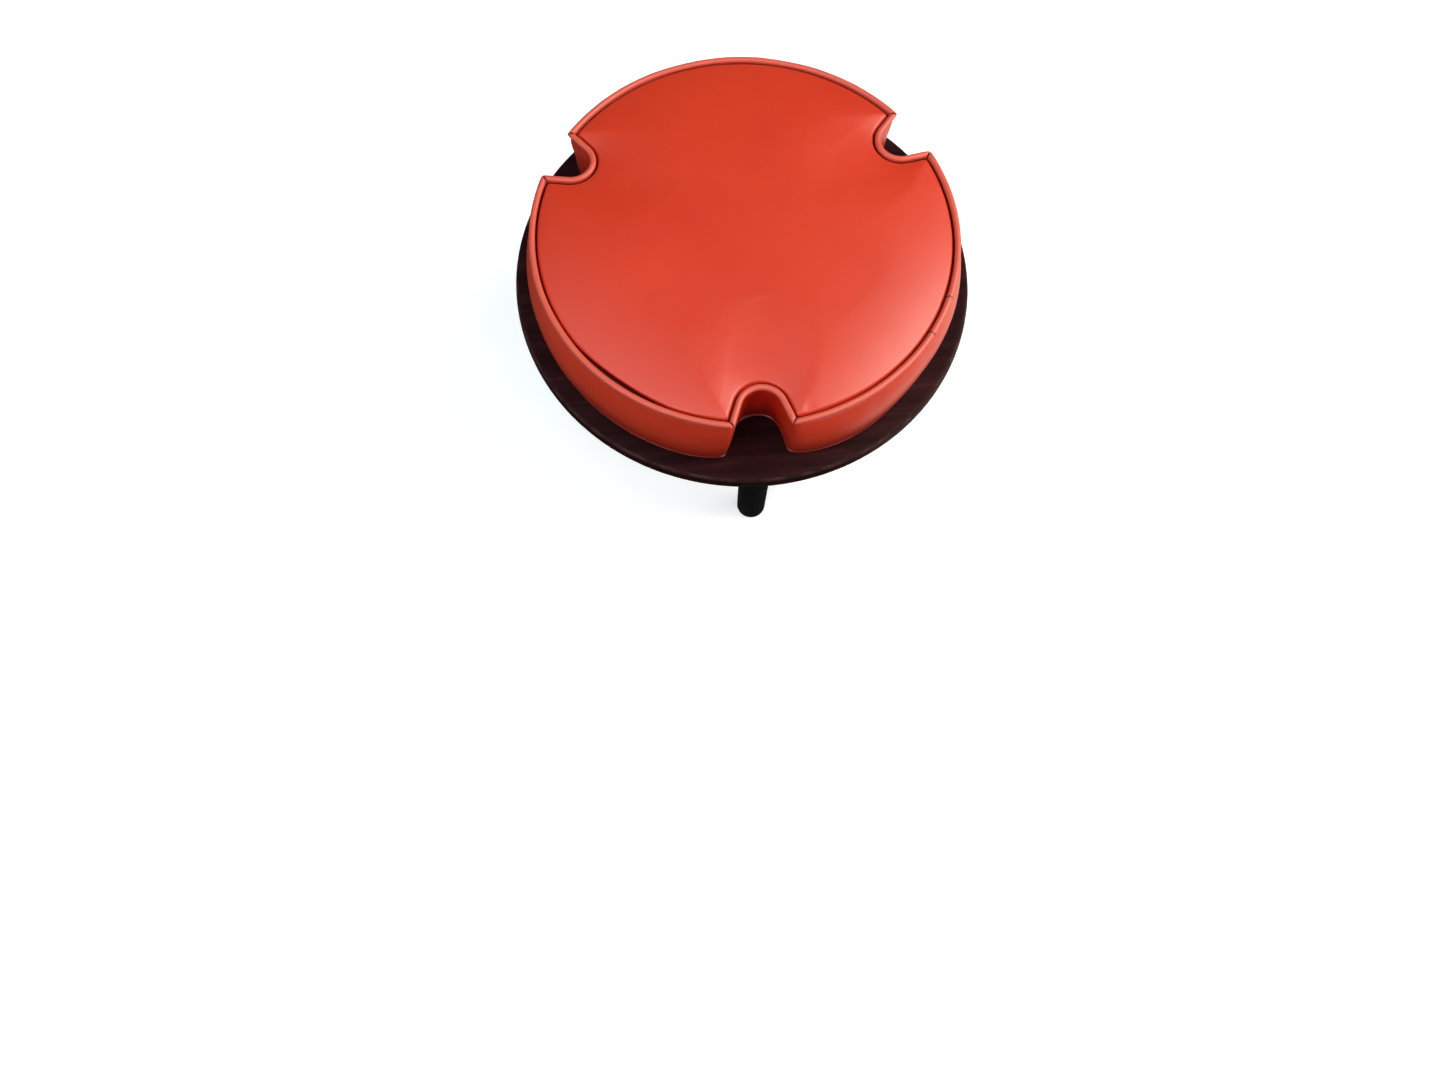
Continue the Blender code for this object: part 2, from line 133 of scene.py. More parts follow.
# A flat stretch low on the front right wall, as degrees round the middle
FLAT_MIDDLE = -42.0
FLAT_REACH = 14.0
FLAT_DEPTH = 0.0042

# Wear at the foot of the front notch: a worn spot as (place, reach) and a pinch as (place, reach, depth).
# Puckers of the top panel beside that notch's lips, as (plan place, reach, depth)
SCUFFS = (((-0.0372, -0.2235, BOARD_TOP + 0.0035), 0.0075),)
DENTS = (((0.0262, -0.2190, BOARD_TOP + 0.011), 0.0045, 0.0015),)
PUCKERS = (((-0.0450, -0.2130), 0.0045, 0.0012), ((-0.0400, -0.2080), 0.0040, -0.0006),
           ((0.0440, -0.2085), 0.0050, 0.0010))

# Painted shade on the vinyl: low on the walls, at the ends of the notches, in the seam and in a splice's
# cut
PAINTED_SHADE_HEIGHT = 0.040
NOTCH_SHADE_RADII = (0.190, 0.216)
SEAM_SHADE_TOP = 0.0014
CUT_WIDTHS = (0.0003, 0.0011)

# Fineness of the cushion's mesh
ARC_STEPS = 20
FLARE_STEPS = 6
RIM_STEPS = 96
COLUMNS = 3 * (ARC_STEPS + 2 * FLARE_STEPS + RIM_STEPS)
WALL_ROWS = 16
RINGS = 16
DISC_RADIUS = 0.090
DISC_STEPS = COLUMNS // 4
WELT_SIDES = 20
CORD_SIDES = 12
THREAD_SIDES = 6

# The stage: a floor whose glow rises from under the stool outwards, and a backdrop all round
STAGE_RADIUS = 7.0
FLOOR_GLOW = (0.48, 1.0)
FLOOR_GLOW_RADII = (0.6, 2.4)

# Lamps as (name, degrees round from +X, degrees up, width, height, watts, colour)
LIGHTS = (("window", 0, 52, 1.7, 1.25, 46, (1.0, 0.96, 0.88)),
          ("sky", 0, 25, 1.7, 1.25, 30, (1.0, 0.97, 0.90)),
          ("open_door", -45, 12, 1.7, 0.9, 14, (0.80, 1.0, 1.0)),
          ("room", -135, 38, 1.7, 1.25, 23, (0.97, 0.95, 1.0)),
          ("ceiling_left", 180, 65, 1.9, 1.9, 16, (0.68, 0.93, 1.0)),
          ("ceiling_front", -90, 65, 1.9, 1.9, 12, (0.96, 0.90, 0.87)),
          ("wall_left", 180, 12, 1.7, 0.9, 8, (0.75, 0.95, 1.0)))
LIGHT_DISTANCE = 2.6

# The sunlit stretch of floor beside the stool, which shines up: place, side, watts, colour
BRIGHT_FLOOR = ((0.68, 0.10, 0.006), 0.9, 2.5, (1.0, 0.82, 0.72))

# The world's grey tones from straight down, 0, to straight up, 1
WORLD_TONES = ((0.0, 0.05), (0.47, 0.04), (0.53, 0.04), (0.72, 0.06), (0.86, 0.03), (1.0, 0.02))

# The hand-held camera, in metres, millimetres and degrees
CAMERA_PLACE = (-0.0992, -0.6592, 1.2563)
CAMERA_LENS = 26.52
CAMERA_SENSOR = 36.0
CAMERA_YAW = -8.2
CAMERA_TILT = 18.493
CAMERA_ROLL = 3.525


# ---------------------------------------------------------------- materials

class Look:
    """A Principled material and short ways to add nodes to it."""

    def __init__(self, name, roughness=0.5, metallic=0.0, coat=0.0, coat_roughness=0.3):
        self.material = bpy.data.materials.new(name)
        self.material.use_nodes = True
        self.tree = self.material.node_tree
        self.shader = self.tree.nodes["Principled BSDF"]
        self.shader.inputs["Roughness"].default_value = roughness
        self.shader.inputs["Metallic"].default_value = metallic
        self.shader.inputs["Coat Weight"].default_value = coat
        self.shader.inputs["Coat Roughness"].default_value = coat_roughness
        self.place = self.add("TexCoord").outputs["Object"]
        self.height = self.add("SeparateXYZ", {"Vector": self.place}).outputs["Z"]

    def add(self, kind, inputs=None, **settings):
        node = self.tree.nodes.new("ShaderNode" + kind)
        for key, value in settings.items():
            setattr(node, key, value)
        for key, value in (inputs or {}).items():
            self.put(node.inputs[key], value)
        return node

    def put(self, socket, value):
        if isinstance(value, bpy.types.NodeSocket):
            self.tree.links.new(value, socket)
        elif isinstance(value, tuple) and len(value) == 3 and socket.type == "RGBA":
            socket.default_value = (*value, 1.0)
        else:
            socket.default_value = value

    def stretched(self, scale, turn=0.0):
        inputs = {"Vector": self.place, "Scale": scale, "Rotation": (0, 0, turn)}
        return self.add("Mapping", inputs).outputs["Vector"]

    def noise(self, scale, detail=2.0, vector=None, distortion=0.0):
        inputs = {"Vector": vector or self.place, "Scale": scale, "Detail": detail,
                  "Distortion": distortion}
        return self.add("TexNoise", inputs).outputs["Fac"]

    def cells(self, scale):
        inputs = {"Vector": self.place, "Scale": scale}
        return self.add("TexVoronoi", inputs, feature="F1").outputs["Distance"]

    def ramp(self, value, stops):
        """Colours, or plain numbers, along a value from 0 to 1."""
        node = self.add("ValToRGB", {"Fac": value})
        elements = node.color_ramp.elements
        while len(elements) < len(stops):
            elements.new(0.5)
        for element, (spot, tone) in zip(elements, stops):
            element.position = spot
            element.color = (*tone, 1.0) if isinstance(tone, tuple) else (tone, tone, tone, 1.0)
        return node.outputs["Color"]

    def mix(self, share, first, second, blend="MIX"):
        node = self.add("Mix", data_type="RGBA", blend_type=blend)
        for socket, value in ((node.inputs[0], share), (node.inputs[6], first), (node.inputs[7], second)):
            self.put(socket, value)
        return node.outputs[2]

    def maths(self, operation, *values):
        return self.add("Math", dict(enumerate(values)), operation=operation).outputs["Value"]

    def between(self, value, low, high, start=0.0, end=1.0):
        """A value's run from low to high, turned into a run from start to end."""
        inputs = {"Value": value, "From Min": low, "From Max": high, "To Min": start, "To Max": end}
        return self.add("MapRange", inputs).outputs["Result"]

    def near(self, point, reach):
        """1 at a point, falling to 0 at its reach."""
        gap = self.add("VectorMath", {0: self.place, 1: point}, operation="DISTANCE").outputs["Value"]
        return self.between(gap, 0.0, reach, 1.0, 0.0)

    def radius(self):
        """Distance from the stool's axis."""
        flat = self.add("VectorMath", {0: self.place, 1: (1.0, 1.0, 0.0)}, operation="MULTIPLY")
        return self.add("VectorMath", {0: flat.outputs["Vector"]}, operation="LENGTH").outputs["Value"]

    def turn(self):
        """Angle round the stool's axis, in radians."""
        split = self.add("SeparateXYZ", {"Vector": self.place})
        return self.maths("ARCTAN2", split.outputs["Y"], split.outputs["X"])

    def colour(self, value):
        self.put(self.shader.inputs["Base Color"], value)

    def rough(self, value):
        self.put(self.shader.inputs["Roughness"], value)

    def bump(self, heights):
        """Bumps laid over each other, each as (height, strength, depth in metres)."""
        normal = None
        for height, strength, depth in heights:
            inputs = {"Height": height, "Strength": strength, "Distance": depth}
            if normal:
                inputs["Normal"] = normal
            normal = self.add("Bump", inputs).outputs["Normal"]
        self.put(self.shader.inputs["Normal"], normal)


def vinyl(name, scuffs=(), dents=(), cuts=(), painted_sheen=0.0, matt=0.0, painted_wall_shade=False, painted_seam_shade=False):
    """Orange-red upholstery vinyl: a satin film with a fine pressed grain.

    Scuffs are worn spots, dents are pinches and cuts are splices, each with painted shade in its slit. A
    painted sheen mixes a pale pink into the colour. Painted wall shade darkens the vinyl low down and,
    deeper red, in the notches; painted seam shade darkens it in the seam.
    """
    look = Look(name, coat=0.12 - matt, coat_roughness=0.34)
    look.shader.inputs["Specular IOR Level"].default_value = 0.75
    dark = (0.610, 0.033, 0.008)
    light = (0.660, 0.041, 0.011)
    colour = look.ramp(look.noise(9.0, 3.0), [(0.30, dark), (0.70, light)])
    # A painted sheen: a pale pink mixed into the colour, standing in for the soft highlight on the welts
    colour = look.mix(painted_sheen, colour, (0.95, 0.45, 0.34))
    grain = look.cells(900.0)
    colour = look.mix(0.10, colour, look.ramp(grain, [(0.0, 0.25), (0.7, 1.0)]), "MULTIPLY")
    # Painted shade: darker towards the foot of the wall, and deeper red at the ends of the notches for the
    # shade and bounced red light there
    if painted_wall_shade:
        rise = look.between(look.height, BOARD_TOP, BOARD_TOP + PAINTED_SHADE_HEIGHT)
        shade = look.ramp(rise, [(0.0, (0.50, 0.28, 0.24)), (0.35, (0.68, 0.50, 0.45)), (1.0, 1.0)])
        colour = look.mix(1.0, colour, shade, "MULTIPLY")
        deep = look.between(look.radius(), *NOTCH_SHADE_RADII, 0.85, 0.0)
        colour = look.mix(deep, colour, (1.0, 0.25, 0.20), "MULTIPLY")
    # Painted shade in the seam's groove, darkest at its bottom
    if painted_seam_shade:
        depth = look.between(look.height, WELT_HEIGHT - EDGE_DROP, WELT_HEIGHT - SEAM_SHADE_TOP)
        shade = look.ramp(depth, [(0.0, (0.26, 0.13, 0.16)), (0.5, (0.50, 0.32, 0.34)), (1.0, 1.0)])
        colour = look.mix(1.0, colour, shade, "MULTIPLY")
    for point, reach in scuffs:
        specks = look.ramp(look.noise(420.0, 4.0), [(0.34, 0.0), (0.46, 1.0)])
        near = look.maths("MINIMUM", look.maths("MULTIPLY", look.near(point, reach), 2.5), 0.9)
        colour = look.mix(look.maths("MULTIPLY", near, specks), colour, (0.42, 0.25, 0.15))
    # Painted shade in each splice's slit: a near-black line across the welt
    for degrees in cuts:
        off = look.maths("ABSOLUTE", look.maths("SUBTRACT", look.turn(), math.radians(degrees)))
        cut = look.between(look.maths("MULTIPLY", off, SEAM_RADIUS), *CUT_WIDTHS, 0.9, 0.0)
        colour = look.mix(cut, colour, (0.060, 0.004, 0.003))
    look.colour(colour)
    look.rough(look.between(look.noise(40.0, 4.0), 0.2, 0.8, 0.38 + matt, 0.44 + matt))
    bumps = [(look.noise(22.0, 2.0), 0.03, 0.0006), (grain, 0.20, 0.00012),
             (look.noise(2600.0, 2.0), 0.15, 0.00006)]
    look.bump(bumps + [(look.near(point, reach), 1.0, -depth) for point, reach, depth in dents])
    return look.material


def stained_wood(name):
    """Dark red-brown stain on a veneered board, with a brown wear line at its arris."""
    turn = math.radians(-14.0)
    look = Look(name)
    look.shader.inputs["Specular IOR Level"].default_value = 0.06
    figure = look.noise(1.6, 5.0, look.stretched((3.0, 55.0, 55.0), turn), 0.6)
    fibres = look.noise(9.0, 6.0, look.stretched((4.0, 150.0, 150.0), turn))
    colour = look.ramp(figure, [(0.25, (0.014, 0.0030, 0.0035)), (0.55, (0.030, 0.0070, 0.0082)),
                                (0.80, (0.054, 0.0145, 0.0165))])
    colour = look.mix(0.45, colour, look.ramp(fibres, [(0.35, 0.35), (0.65, 1.0)]), "MULTIPLY")
    edge = look.between(look.radius(), BOARD_RADIUS - 0.0040, BOARD_RADIUS - 0.0026)
    inputs = {"Vector": look.place, "Scale": 58.0, "Distortion": 0.6, "Detail": 2.0}
    plies = look.add("TexWave", inputs, bands_direction="Z").outputs["Color"]
    side = look.ramp(plies, [(0.30, (0.010, 0.003, 0.003)), (0.75, (0.028, 0.010, 0.009))])
    colour = look.mix(edge, colour, side)
    rise = look.between(look.height, BOARD_TOP - 0.0046, BOARD_TOP - 0.0010)
    arris = look.maths("MULTIPLY", edge, rise)
    patches = look.ramp(look.noise(70.0, 4.0), [(0.40, 0.15), (0.62, 0.9)])
    colour = look.mix(look.maths("MULTIPLY", arris, patches), colour, (0.070, 0.028, 0.024))
    look.colour(colour)
    look.rough(look.ramp(fibres, [(0.2, 0.36), (0.8, 0.52)]))
    look.bump([(fibres, 0.25, 0.0003), (look.noise(30.0, 3.0), 0.10, 0.0008)])
    return look.material


def black_lacquer(name):
    """Black lacquer on turned wood, with long grain just showing and a worn foot."""
    look = Look(name)
    look.shader.inputs["Specular IOR Level"].default_value = 0.16
    fibres = look.noise(6.0, 5.0, look.stretched((150.0, 150.0, 6.0)))
    colour = look.ramp(fibres, [(0.3, (0.0020, 0.0018, 0.0018)), (0.7, (0.006, 0.005, 0.0048))])
    foot = look.between(look.height, 0.004, 0.011, 1.0, 0.0)
    patches = look.ramp(look.noise(190.0, 4.0), [(0.46, 0.0), (0.58, 0.9)])
    look.colour(look.mix(look.maths("MULTIPLY", foot, patches), colour, (0.10, 0.055, 0.030)))
    look.rough(look.ramp(look.noise(60.0, 3.0), [(0.3, 0.36), (0.7, 0.50)]))
    look.bump([(fibres, 0.2, 0.0002)])
    return look.material


def plated_steel(name, tone, roughness):
    """Plated steel with a faint mottle and fine scratches."""
    look = Look(name, metallic=1.0)
    mottle = look.noise(220.0, 4.0)
    dark = tuple(part * 0.78 for part in tone)
    look.colour(look.ramp(mottle, [(0.3, dark), (0.7, tone)]))
    look.rough(look.ramp(mottle, [(0.3, roughness * 0.8), (0.7, roughness * 1.3)]))
    look.bump([(look.noise(40.0, 4.0, look.stretched((60.0, 4.0, 60.0))), 0.08, 0.0001)])
    return look.material


def foam(name):
    """Open-cell cushion foam, aged to cream."""
    look = Look(name, roughness=0.95)
    cells = look.cells(700.0)
    look.colour(look.ramp(cells, [(0.05, (0.42, 0.30, 0.14)), (0.5, (0.80, 0.68, 0.44))]))
    look.bump([(cells, 0.8, 0.0006)])
    return look.material


def cotton(name, dark, light):
    """Twisted cotton, for the piping cord and the thread."""
    look = Look(name, roughness=0.9)
    strands = look.noise(900.0, 3.0)
    look.colour(look.ramp(strands, [(0.3, dark), (0.7, light)]))
    look.bump([(strands, 0.6, 0.0003)])
    return look.material


# ---------------------------------------------------------------- mesh helpers

def add_piece(name, mesh, look, body, nodes=()):
    """Link a mesh as a shown piece that rides on a body and stands for CAD nodes."""
    piece = bpy.data.objects.new(name, mesh)
    bpy.context.scene.collection.objects.link(piece)
    mesh.materials.clear()
    mesh.materials.append(look)
    mesh.shade_smooth()
    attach(piece, body)
    if nodes:
        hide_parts(*nodes)
    return piece


def mesh_of(name, points, faces):
    mesh = bpy.data.meshes.new(name)
    mesh.from_pydata(np.asarray(points).tolist(), [], faces)
    return mesh


def grid_faces(rows, count, first=0, closed_rows=False):
    """Quads between rows of points, each row a closed loop. closed_rows also joins last to first."""
    faces = []
    for row in range(rows if closed_rows else rows - 1):
        low = first + row * count
        high = first + (row + 1) % rows * count
        faces += [(low + i, low + (i + 1) % count, high + (i + 1) % count, high + i) for i in range(count)]
    return faces


def turned_mesh(name, profile, steps):
    """Revolve (radius, height) points, outer side from top to bottom, into a closed mesh."""
    solid = bmesh.new()
    points = [solid.verts.new((radius, 0.0, height)) for radius, height in profile]
    edges = [solid.edges.new(pair) for pair in zip(points, points[1:])]
    bmesh.ops.spin(solid, geom=points + edges, cent=(0, 0, 0), axis=(0, 0, 1), angle=2 * math.pi,
                   steps=steps, use_merge=True)
    bmesh.ops.remove_doubles(solid, verts=solid.verts, dist=0.000001)
    bmesh.ops.recalc_face_normals(solid, faces=solid.faces)
    mesh = bpy.data.meshes.new(name)
    solid.to_mesh(mesh)
    solid.free()
    return mesh


def rounded(profile, radius, segments=4):
    """Round the inner corners of an open (radius, height) profile."""
    points = [Vector(spot) for spot in profile]
    result = [points[0]]
    for before, corner, after in zip(points, points[1:], points[2:]):
        reach = min(radius, (before - corner).length * 0.45, (after - corner).length * 0.45)
        start = corner + (before - corner).normalized() * reach
        end = corner + (after - corner).normalized() * reach
        for i in range(segments + 1):
            share = i / segments
            result.append(start.lerp(corner, share).lerp(corner.lerp(end, share), share))
    result.append(points[-1])
    return [tuple(spot) for spot in result]


# ---------------------------------------------------------------- board, legs and hardware

def make_board():
    middle = (BOARD_TOP + BOARD_UNDERSIDE) / 2
    half = (BOARD_TOP - BOARD_UNDERSIDE) / 2
    flat = BOARD_RADIUS - BOARD_EDGE_ROUND
    steps = 14
    profile = [(0, BOARD_TOP), (flat * 0.5, BOARD_TOP), (flat - BOARD_EDGE_ROUND, BOARD_TOP)]
    for i in range(steps + 1):
        angle = math.pi / 2 - math.pi * i / steps
        profile.append((flat + BOARD_EDGE_ROUND * math.cos(angle), middle + half * math.sin(angle)))
    profile += [(flat - BOARD_EDGE_ROUND, BOARD_UNDERSIDE), (flat * 0.5, BOARD_UNDERSIDE),
                (0, BOARD_UNDERSIDE)]
    mesh = turned_mesh("board", profile, 240)
    add_piece("board", mesh, stained_wood("stained_board"), "base", ["seat_board"])


def make_legs():
    look = black_lacquer("leg_lacquer")
    for side in NOTCHES:
        low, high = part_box("leg_" + side)
        top_radius = (high.x - low.x) / 2
        foot_radius = top_radius * LEG_TAPER
        profile = [(0, high.z), (top_radius, high.z), (foot_radius, low.z), (0, low.z)]
        mesh = turned_mesh("turned_leg_" + side, rounded(profile, LEG_EDGE_ROUND), 64)
        mesh.transform(Matrix.Translation(((low.x + high.x) / 2, (low.y + high.y) / 2, 0)))
        add_piece("turned_leg_" + side, mesh, look, "base", ["leg_" + side])


def dress_hardware():
    zinc = plated_steel("zinc_plating", (0.58, 0.56, 0.50), 0.34)
    nickel = plated_steel("nickel_plating", (0.60, 0.58, 0.55), 0.24)
    for name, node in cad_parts.items():
        if name.startswith(("leg_plate", "plate_screw", "hanger_bolt", "foot_glide")):
            node.data.materials.clear()
            node.data.materials.append(nickel if name.startswith("foot_glide") else zinc)


# ---------------------------------------------------------------- cushion outline

def flare_line(grow):
    """Start and direction of a notch's straight side, in the notch's own axes."""
    arc = NOTCH_ARC_RADIUS - grow
    start = np.array([NOTCH_ARC_CENTRE - arc * math.sin(NOTCH_FLARE), arc * math.cos(NOTCH_FLARE)])
    return start, np.array([math.cos(NOTCH_FLARE), math.sin(NOTCH_FLARE)])


def lip(rim, grow):
    """Where the straight side meets the rim circle."""
    start, along = flare_line(grow)
    lead = start @ along
    return start + along * (math.sqrt(lead * lead - start @ start + rim * rim) - lead)


def notch_points(rim, grow, arc_steps=ARC_STEPS, flare_steps=FLARE_STEPS):
    """One notch along +X, from its lip at -Y round the end, up to but not with the other lip."""
    arc = NOTCH_ARC_RADIUS - grow
    start, _ = flare_line(grow)
    corner = lip(rim, grow)
    shares = np.linspace(0, 1, flare_steps, endpoint=False)[:, None]
    inward = (corner + (start - corner) * shares) * np.array([1.0, -1.0])
    turn = math.pi - 2 * NOTCH_FLARE
    angles = math.pi + turn * (0.5 - np.linspace(0, 1, arc_steps, endpoint=False))
    bend = np.stack([NOTCH_ARC_CENTRE + arc * np.cos(angles), arc * np.sin(angles)], -1)
    return np.concatenate([inward, bend, start + (corner - start) * shares])


def rim_sweep(side):
    """Degrees from one notch to the next."""
    order = list(NOTCHES)
    following = NOTCHES[order[(order.index(side) + 1) % 3]]
    return (following - NOTCHES[side]) % 360.0


def rim_points(rim, grow, side, steps=RIM_STEPS):
    """The rim after a notch along +X, from its lip up to but not with the next one's."""
    corner = lip(rim, grow)
    edge = math.atan2(corner[1], corner[0])
    sweep = math.radians(rim_sweep(side)) - 2 * edge
    angles = edge + sweep * np.linspace(0, 1, steps, endpoint=False)
    return rim * np.stack([np.cos(angles), np.sin(angles)], -1)


def turned_by(points, degrees):
    c, s = math.cos(math.radians(degrees)), math.sin(math.radians(degrees))
    return points @ np.array([[c, s], [-s, c]])


def outline(rim, grow):
    """The whole outline as an array of plan points. Every offset has the same count."""
    parts = []
    for side, degrees in NOTCHES.items():
        third = np.concatenate([notch_points(rim, grow), rim_points(rim, grow, side)])
        parts.append(turned_by(third, degrees))
    return np.concatenate(parts)


def softened(points, passes):
    """Ease a closed loop of points, which rounds its corners."""
    for _ in range(passes):
        points = (np.roll(points, 1, 0) + 2 * points + np.roll(points, -1, 0)) / 4
    return points


def lip_nearness(side, flip, reach):
    """For each column, 1 at one lip of a notch, falling to 0 with the distance from it."""
    point = turned_by(lip(SEAM_RADIUS, 0.0) * [1.0, flip], NOTCHES[side])
    gap = np.linalg.norm(outline(SEAM_RADIUS, 0.0) - point, axis=1)
    return np.exp(-gap / reach)


def notch_share():
    """1 for the columns of the three notches, fading to 0 round the rim."""
    gap = SEAM_RADIUS - np.linalg.norm(outline(SEAM_RADIUS, 0.0), axis=1)
    return np.clip(gap / NOTCH_FADE, 0, 1)


def shaped_wall(rim, grow, passes, rise):
    """One level of the wall, with its corners eased, pulled in and pushed as LIPS says, and its folds."""
    crisp = outline(rim, grow)
    plan = softened(crisp, passes)
    low = max(0.0, 1 - rise / PUSH_HEIGHT)
    tucked = math.exp(-((rise - TUCK_HEIGHT) / TUCK_REACH) ** 2)
    for side, flip, push, crispness, tuck in LIPS:
        keep = crispness * lip_nearness(side, flip, CRISP_REACH)[:, None]
        plan = plan * (1 - keep) + crisp * keep
        near = lip_nearness(side, flip, PUSH_REACH)[:, None]
        under = lip_nearness(side, flip, TUCK_SIDE_REACH)[:, None]
        inward = turned_by(np.array([0.0, -flip]), NOTCHES[side])
        size = np.linalg.norm(plan, axis=1)[:, None]
        drawn = (LIP_PULL * low * near + tuck * tucked * under) / size
        plan = plan * (1 - drawn) + inward * push * low * near
    lower_part = min(1.0, 1.6 * low)
    folds = FOLD_DEPTH * lower_part * ripple(crisp, FOLD_SCALE, 2.4) * notch_share()
    angles = np.degrees(np.arctan2(plan[:, 1], plan[:, 0]))
    flat = FLAT_DEPTH * lower_part * np.exp(-((angles - FLAT_MIDDLE) / FLAT_REACH) ** 2)
    return plan * (1 + (folds - flat) / np.linalg.norm(plan, axis=1))[:, None]


def gape(points):
    """How far the seam gapes at plan points: 1 in the middle of the stretch, 0 past its ends."""
    angles = np.degrees(np.arctan2(points[:, 1], points[:, 0]))
    off = np.clip(np.abs(angles - GAPE_MIDDLE) / GAPE_REACH, 0, 1)
    return (1 - off ** 2) ** 1.5


def ripple(points, scale, seed):
    """Smooth noise from -1 to 1 at each point, the same each run."""
    spots = np.column_stack([points, np.zeros(len(points))])[:, :3] * scale + seed
    return np.array([noise.noise(Vector(spot)) for spot in spots])


# ---------------------------------------------------------------- cushion surface

def with_height(plan, height):
    return np.column_stack([plan, np.broadcast_to(height, len(plan))])


def wall_profile():
    """(rise above the board, rim radius, growth into the notch, softening) from the top down."""
    under = WELT_HEIGHT - WELT_RADIUS - BOARD_TOP
    rows = [(under + 0.0006, SEAM_RADIUS + 0.0016, 0.0016, 0),
            (under - 0.0004, SEAM_RADIUS + 0.0032, 0.0030, 0),
            (under - 0.0010, SEAM_RADIUS + 0.0050, 0.0042, 1)]
    for rise in np.linspace(under - 0.0030, 0.0045, WALL_ROWS):
        if rise < WALL_WIDEST_HEIGHT:
            share = 1 - rise / WALL_WIDEST_HEIGHT
            rim = WALL_WIDEST_RADIUS - (WALL_WIDEST_RADIUS - WALL_BASE_RADIUS) * share ** 2
        else:
            share = (rise - WALL_WIDEST_HEIGHT) / (under - WALL_WIDEST_HEIGHT)
            rim = WALL_WIDEST_RADIUS - (WALL_WIDEST_RADIUS - SEAM_RADIUS - WALL_LEAN) * share ** 2.2
        rows.append((rise, rim, WALL_LEAN * rise / under, 3))
    hem = ((0.0036, -0.0007), (0.0030, -0.0012), (0.0024, -0.0006), (0.0016, 0.0005),
           (0.0009, 0.0004), (0.0004, -0.0006), (0.0003, -0.0030))
    return rows + [(rise, WALL_BASE_RADIUS + out, out, 3) for rise, out in hem]


def wall_rows():
    """Rows of the boxing from the seam under the welt down to the board."""
    return [with_height(shaped_wall(rim, grow, passes, rise), BOARD_TOP + rise)
            for rise, rim, grow, passes in wall_profile()]


def seam_distance(points, seam):
    """Plan distance of each point from the seam line."""
    nearest = np.full(len(points), np.inf)
    for start, end in zip(seam, np.roll(seam, -1, 0)):
        run = end - start
        share = np.clip(((points - start) @ run) / (run @ run), 0, 1)
        gap = np.linalg.norm(points - start - share[:, None] * run, axis=1)
        nearest = np.minimum(nearest, gap)
    return nearest


def panel_height(distance, plan, back=1.0):
    """Height of the top panel: a tight roll out of the seam, a shoulder, then a slight dome."""
    turn = min(max((back - EDGE_FLOOR) / EDGE_ROLL_REACH, 0.0), 1.0)
    roll = EDGE_ROLL * math.sqrt(1 - (1 - turn) ** 2)
    shoulder = SHOULDER * (1 - np.exp(-distance / SHOULDER_REACH))
    dome = CROWN_TOP + CROWN_SWELL - WELT_HEIGHT + EDGE_DROP - EDGE_ROLL - SHOULDER
    radius = np.linalg.norm(plan, axis=1) / SEAM_RADIUS
    return WELT_HEIGHT - EDGE_DROP + roll + shoulder + dome * np.clip(1 - radius ** 2, 0, 1)


def even_circle(loop):
    """An even circle of DISC_RADIUS, turned to lie as close to the loop's points as it can."""
    steps = 2 * math.pi * np.arange(COLUMNS) / COLUMNS
    angles = np.unwrap(np.arctan2(loop[:, 1], loop[:, 0]))
    start = (angles - steps).mean()
    return DISC_RADIUS * np.stack([np.cos(steps + start), np.sin(steps + start)], -1), start


def disc(start):
    """A square grid bent into a disc. Its rim meets the even circle's points."""
    count = DISC_STEPS + 1
    first, second = np.meshgrid(np.linspace(-1, 1, count), np.linspace(-1, 1, count), indexing="ij")
    wide = np.abs(first) > np.abs(second)
    reach = np.where(wide, first, second)
    safe = np.where(reach == 0, 1.0, reach)
    bend = math.pi / 4 * np.where(wide, second, first) / safe
    angle = np.where(wide, bend, math.pi / 2 - bend) + start + math.pi / 4
    return DISC_RADIUS * np.stack([reach * np.cos(angle), reach * np.sin(angle)], -1)


def disc_rim(last):
    """Grid places (i, j) round the disc, in the order of the circle's points."""
    run = range(last)
    return ([(last, j) for j in run] + [(last - i, last) for i in run]
            + [(0, last - j) for j in run] + [(i, 0) for i in run])


def gape_shift(back):
    """How far a row of the panel stands back where the seam gapes. The edge's own rows undercut it."""
    if back < EDGE_FLOOR / 2:
        return 0.0
    undercut = GAPE_UNDERCUT if back <= EDGE_FLOOR else 0.0
    return GAPE_WIDTH * max(0.0, 1 - back / GAPE_FADE) + undercut


